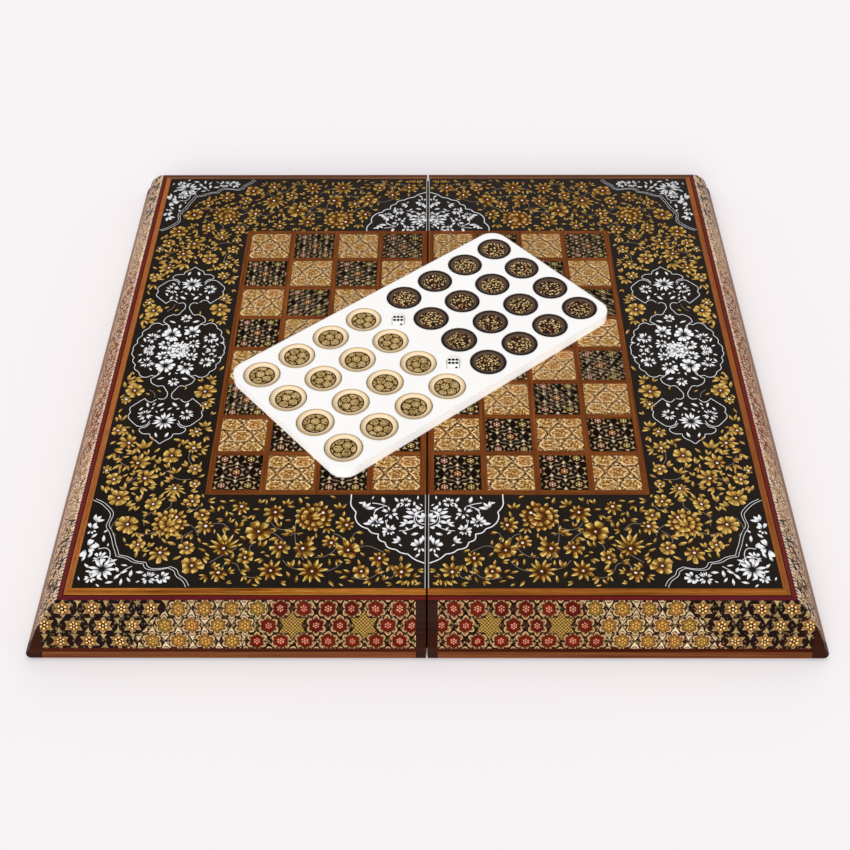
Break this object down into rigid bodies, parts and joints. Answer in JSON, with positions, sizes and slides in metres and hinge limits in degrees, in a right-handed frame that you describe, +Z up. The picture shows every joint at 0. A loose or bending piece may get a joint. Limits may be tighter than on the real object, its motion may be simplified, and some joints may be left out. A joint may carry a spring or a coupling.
{
  "type": "folding backgammon board with khatam inlay",
  "caption": "Khatam-inlaid folding backgammon board, opened flat with its chess side up, with a white tray that holds the checkers and dice on top.",
  "frame": {"origin": "middle of the opened board's footprint, on the surface that it stands on", "axes": "+Z up, +X to the right over the two halves, +Y from the front edge to the back"},
  "size_m": [0.5, 0.5, 0.0439],
  "materials": {
    "dark_wood": "dark brown, satin varnish",
    "panel_wood": "plain plywood, satin",
    "black_lacquer": "black gloss lacquer with gold painting",
    "bar_wood": "red-brown, gloss varnish",
    "khatam_light": "light khatam marquetry, gloss varnish",
    "khatam_dark": "dark khatam marquetry, gloss varnish",
    "orange_wood": "orange-brown, gloss varnish",
    "crimson_wood": "dyed crimson, gloss varnish",
    "khatam_band": "star khatam marquetry, gloss varnish",
    "point_inlay": "khatam marquetry, satin",
    "brass": "satin",
    "pin_steel": "satin",
    "white_tray": "matte white",
    "light_checker_wood": "cream, gloss varnish",
    "dark_checker_wood": "black-brown, gloss varnish",
    "die_white": "white with black pips"
  },
  "bodies": {
    "left_half": {"left_rails": "dark_wood", "left_panel": "panel_wood", "left_lacquer_border": "black_lacquer", "left_chess_bars": "bar_wood", "left_light_squares": "khatam_light", "left_dark_squares": "khatam_dark", "left_wood_strips": "orange_wood", "left_crimson_lines": "crimson_wood", "left_khatam_bands": "khatam_band", "left_points": "point_inlay", "left_hinge_leaves": "brass", "left_hinge_screws": "brass", "hinge_pins": "pin_steel"},
    "right_half": {"right_rails": "dark_wood", "right_panel": "panel_wood", "right_lacquer_border": "black_lacquer", "right_chess_bars": "bar_wood", "right_light_squares": "khatam_light", "right_dark_squares": "khatam_dark", "right_wood_strips": "orange_wood", "right_crimson_lines": "crimson_wood", "right_khatam_bands": "khatam_band", "right_points": "point_inlay", "right_hinge_leaves": "brass", "right_hinge_screws": "brass"},
    "game_tray": {"tray": "white_tray"},
    "light_checker_01_piece": {"light_checker_01": "light_checker_wood"},
    "light_checker_02_piece": {"light_checker_02": "light_checker_wood"},
    "light_checker_03_piece": {"light_checker_03": "light_checker_wood"},
    "light_checker_04_piece": {"light_checker_04": "light_checker_wood"},
    "light_checker_05_piece": {"light_checker_05": "light_checker_wood"},
    "light_checker_06_piece": {"light_checker_06": "light_checker_wood"},
    "light_checker_07_piece": {"light_checker_07": "light_checker_wood"},
    "light_checker_08_piece": {"light_checker_08": "light_checker_wood"},
    "light_checker_09_piece": {"light_checker_09": "light_checker_wood"},
    "light_checker_10_piece": {"light_checker_10": "light_checker_wood"},
    "light_checker_11_piece": {"light_checker_11": "light_checker_wood"},
    "light_checker_12_piece": {"light_checker_12": "light_checker_wood"},
    "light_checker_13_piece": {"light_checker_13": "light_checker_wood"},
    "light_checker_14_piece": {"light_checker_14": "light_checker_wood"},
    "light_checker_15_piece": {"light_checker_15": "light_checker_wood"},
    "light_checker_16_piece": {"light_checker_16": "light_checker_wood"},
    "dark_checker_01_piece": {"dark_checker_01": "dark_checker_wood"},
    "dark_checker_02_piece": {"dark_checker_02": "dark_checker_wood"},
    "dark_checker_03_piece": {"dark_checker_03": "dark_checker_wood"},
    "dark_checker_04_piece": {"dark_checker_04": "dark_checker_wood"},
    "dark_checker_05_piece": {"dark_checker_05": "dark_checker_wood"},
    "dark_checker_06_piece": {"dark_checker_06": "dark_checker_wood"},
    "dark_checker_07_piece": {"dark_checker_07": "dark_checker_wood"},
    "dark_checker_08_piece": {"dark_checker_08": "dark_checker_wood"},
    "dark_checker_09_piece": {"dark_checker_09": "dark_checker_wood"},
    "dark_checker_10_piece": {"dark_checker_10": "dark_checker_wood"},
    "dark_checker_11_piece": {"dark_checker_11": "dark_checker_wood"},
    "dark_checker_12_piece": {"dark_checker_12": "dark_checker_wood"},
    "dark_checker_13_piece": {"dark_checker_13": "dark_checker_wood"},
    "dark_checker_14_piece": {"dark_checker_14": "dark_checker_wood"},
    "dark_checker_15_piece": {"dark_checker_15": "dark_checker_wood"},
    "dark_checker_16_piece": {"dark_checker_16": "dark_checker_wood"},
    "die_1_piece": {"die_1": "die_white"},
    "die_2_piece": {"die_2": "die_white"}
  },
  "joints": [
    {"name": "board_fold", "type": "hinge", "parent": "left_half", "child": "right_half", "pos_m": [0, 0, 0.002], "axis": [0, 1, 0], "range_deg": [0, 180]},
    {"name": "tray_lift", "type": "slide", "parent": "left_half", "child": "game_tray", "axis": [0, 0, 1], "range_m": [0, 0.08]},
    {"name": "light_checker_01_lift", "type": "slide", "parent": "game_tray", "child": "light_checker_01_piece", "axis": [0, 0, 1], "range_m": [0, 0.02]},
    {"name": "light_checker_02_lift", "type": "slide", "parent": "game_tray", "child": "light_checker_02_piece", "axis": [0, 0, 1], "range_m": [0, 0.02]},
    {"name": "light_checker_03_lift", "type": "slide", "parent": "game_tray", "child": "light_checker_03_piece", "axis": [0, 0, 1], "range_m": [0, 0.02]},
    {"name": "light_checker_04_lift", "type": "slide", "parent": "game_tray", "child": "light_checker_04_piece", "axis": [0, 0, 1], "range_m": [0, 0.02]},
    {"name": "light_checker_05_lift", "type": "slide", "parent": "game_tray", "child": "light_checker_05_piece", "axis": [0, 0, 1], "range_m": [0, 0.02]},
    {"name": "light_checker_06_lift", "type": "slide", "parent": "game_tray", "child": "light_checker_06_piece", "axis": [0, 0, 1], "range_m": [0, 0.02]},
    {"name": "light_checker_07_lift", "type": "slide", "parent": "game_tray", "child": "light_checker_07_piece", "axis": [0, 0, 1], "range_m": [0, 0.02]},
    {"name": "light_checker_08_lift", "type": "slide", "parent": "game_tray", "child": "light_checker_08_piece", "axis": [0, 0, 1], "range_m": [0, 0.02]},
    {"name": "light_checker_09_lift", "type": "slide", "parent": "game_tray", "child": "light_checker_09_piece", "axis": [0, 0, 1], "range_m": [0, 0.02]},
    {"name": "light_checker_10_lift", "type": "slide", "parent": "game_tray", "child": "light_checker_10_piece", "axis": [0, 0, 1], "range_m": [0, 0.02]},
    {"name": "light_checker_11_lift", "type": "slide", "parent": "game_tray", "child": "light_checker_11_piece", "axis": [0, 0, 1], "range_m": [0, 0.02]},
    {"name": "light_checker_12_lift", "type": "slide", "parent": "game_tray", "child": "light_checker_12_piece", "axis": [0, 0, 1], "range_m": [0, 0.02]},
    {"name": "light_checker_13_lift", "type": "slide", "parent": "game_tray", "child": "light_checker_13_piece", "axis": [0, 0, 1], "range_m": [0, 0.02]},
    {"name": "light_checker_14_lift", "type": "slide", "parent": "game_tray", "child": "light_checker_14_piece", "axis": [0, 0, 1], "range_m": [0, 0.02]},
    {"name": "light_checker_15_lift", "type": "slide", "parent": "game_tray", "child": "light_checker_15_piece", "axis": [0, 0, 1], "range_m": [0, 0.02]},
    {"name": "light_checker_16_lift", "type": "slide", "parent": "game_tray", "child": "light_checker_16_piece", "axis": [0, 0, 1], "range_m": [0, 0.02]},
    {"name": "dark_checker_01_lift", "type": "slide", "parent": "game_tray", "child": "dark_checker_01_piece", "axis": [0, 0, 1], "range_m": [0, 0.02]},
    {"name": "dark_checker_02_lift", "type": "slide", "parent": "game_tray", "child": "dark_checker_02_piece", "axis": [0, 0, 1], "range_m": [0, 0.02]},
    {"name": "dark_checker_03_lift", "type": "slide", "parent": "game_tray", "child": "dark_checker_03_piece", "axis": [0, 0, 1], "range_m": [0, 0.02]},
    {"name": "dark_checker_04_lift", "type": "slide", "parent": "game_tray", "child": "dark_checker_04_piece", "axis": [0, 0, 1], "range_m": [0, 0.02]},
    {"name": "dark_checker_05_lift", "type": "slide", "parent": "game_tray", "child": "dark_checker_05_piece", "axis": [0, 0, 1], "range_m": [0, 0.02]},
    {"name": "dark_checker_06_lift", "type": "slide", "parent": "game_tray", "child": "dark_checker_06_piece", "axis": [0, 0, 1], "range_m": [0, 0.02]},
    {"name": "dark_checker_07_lift", "type": "slide", "parent": "game_tray", "child": "dark_checker_07_piece", "axis": [0, 0, 1], "range_m": [0, 0.02]},
    {"name": "dark_checker_08_lift", "type": "slide", "parent": "game_tray", "child": "dark_checker_08_piece", "axis": [0, 0, 1], "range_m": [0, 0.02]},
    {"name": "dark_checker_09_lift", "type": "slide", "parent": "game_tray", "child": "dark_checker_09_piece", "axis": [0, 0, 1], "range_m": [0, 0.02]},
    {"name": "dark_checker_10_lift", "type": "slide", "parent": "game_tray", "child": "dark_checker_10_piece", "axis": [0, 0, 1], "range_m": [0, 0.02]},
    {"name": "dark_checker_11_lift", "type": "slide", "parent": "game_tray", "child": "dark_checker_11_piece", "axis": [0, 0, 1], "range_m": [0, 0.02]},
    {"name": "dark_checker_12_lift", "type": "slide", "parent": "game_tray", "child": "dark_checker_12_piece", "axis": [0, 0, 1], "range_m": [0, 0.02]},
    {"name": "dark_checker_13_lift", "type": "slide", "parent": "game_tray", "child": "dark_checker_13_piece", "axis": [0, 0, 1], "range_m": [0, 0.02]},
    {"name": "dark_checker_14_lift", "type": "slide", "parent": "game_tray", "child": "dark_checker_14_piece", "axis": [0, 0, 1], "range_m": [0, 0.02]},
    {"name": "dark_checker_15_lift", "type": "slide", "parent": "game_tray", "child": "dark_checker_15_piece", "axis": [0, 0, 1], "range_m": [0, 0.02]},
    {"name": "dark_checker_16_lift", "type": "slide", "parent": "game_tray", "child": "dark_checker_16_piece", "axis": [0, 0, 1], "range_m": [0, 0.02]},
    {"name": "die_1_lift", "type": "slide", "parent": "game_tray", "child": "die_1_piece", "axis": [0, 0, 1], "range_m": [0, 0.02]},
    {"name": "die_2_lift", "type": "slide", "parent": "game_tray", "child": "die_2_piece", "axis": [0, 0, 1], "range_m": [0, 0.02]}
  ]
}
